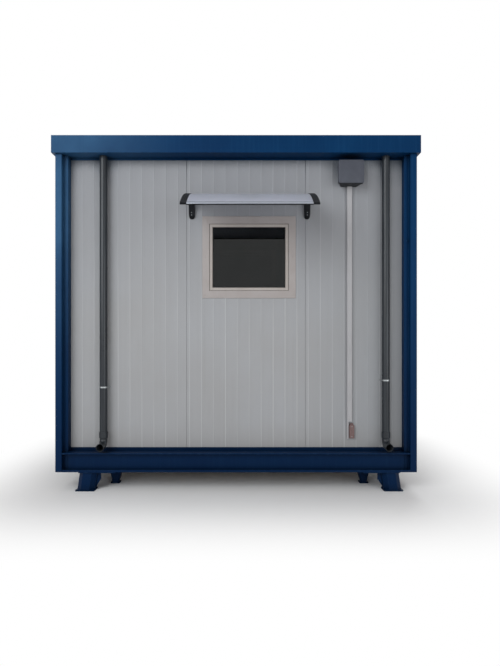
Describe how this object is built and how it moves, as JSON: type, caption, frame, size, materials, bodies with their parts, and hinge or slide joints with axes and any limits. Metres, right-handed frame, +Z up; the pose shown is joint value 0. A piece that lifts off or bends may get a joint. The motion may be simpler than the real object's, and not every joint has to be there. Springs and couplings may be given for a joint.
{
  "type": "prefabricated cabin",
  "caption": "Small steel-framed site cabin on splayed feet, with pale panel walls, a window under a curved canopy and two rainwater pipes.",
  "frame": {"origin": "on the ground, under the middle of the box that holds the cabin and its canopy", "axes": "+Z up, +X to the right along the front wall, +Y from the front wall to the back wall"},
  "size_m": [3, 2.86, 2.897],
  "materials": {
    "frame_blue": "satin enamel",
    "panel_white": "satin coated sheet",
    "galvanised": "zinc coated",
    "floor_board": "board",
    "window_grey": "satin",
    "window_pane": "clear",
    "canopy_black": "moulded",
    "canopy_clear": "translucent",
    "canopy_trim": "anodised",
    "pipe_grey": "extruded",
    "box_grey": "moulded",
    "trunking_white": "extruded",
    "terminal_brown": "moulded",
    "fitting_steel": "brushed"
  },
  "bodies": {
    "root": {"back_panel_left": "panel_white", "back_panel_over_door": "panel_white", "back_panel_right": "panel_white", "base_beam_back": "frame_blue", "base_beam_front": "frame_blue", "base_beam_left": "frame_blue", "base_beam_right": "frame_blue", "cable_trunking": "trunking_white", "canopy_arm_left": "canopy_black", "canopy_arm_right": "canopy_black", "canopy_edge_bars": "canopy_trim", "canopy_sheet": "canopy_clear", "ceiling_panel": "panel_white", "corner_post_back_left": "frame_blue", "corner_post_back_right": "frame_blue", "corner_post_front_left": "frame_blue", "corner_post_front_right": "frame_blue", "door_fittings": "fitting_steel", "door_frame": "window_grey", "door_leaf": "panel_white", "downpipe_left": "pipe_grey", "downpipe_right": "pipe_grey", "floor_deck": "floor_board", "floor_joists": "galvanised", "front_panel_left": "panel_white", "front_panel_middle": "panel_white", "front_panel_right": "panel_white", "head_guides": "frame_blue", "junction_box": "box_grey", "left_panel_back": "panel_white", "left_panel_front": "panel_white", "pipe_clamps": "galvanised", "pipe_elbow_left": "pipe_grey", "pipe_elbow_right": "pipe_grey", "right_panel_back": "panel_white", "right_panel_front": "panel_white", "roof_edge_back": "frame_blue", "roof_edge_front": "frame_blue", "roof_edge_left": "frame_blue", "roof_edge_right": "frame_blue", "roof_rafters": "galvanised", "roof_sheet": "galvanised", "sill_guides": "frame_blue", "support_foot_back_left": "frame_blue", "support_foot_back_right": "frame_blue", "support_foot_front_left": "frame_blue", "support_foot_front_right": "frame_blue", "terminal_block": "terminal_brown", "window_frame": "window_grey", "window_glass": "window_pane", "window_sash": "window_grey"}
  },
  "joints": []
}
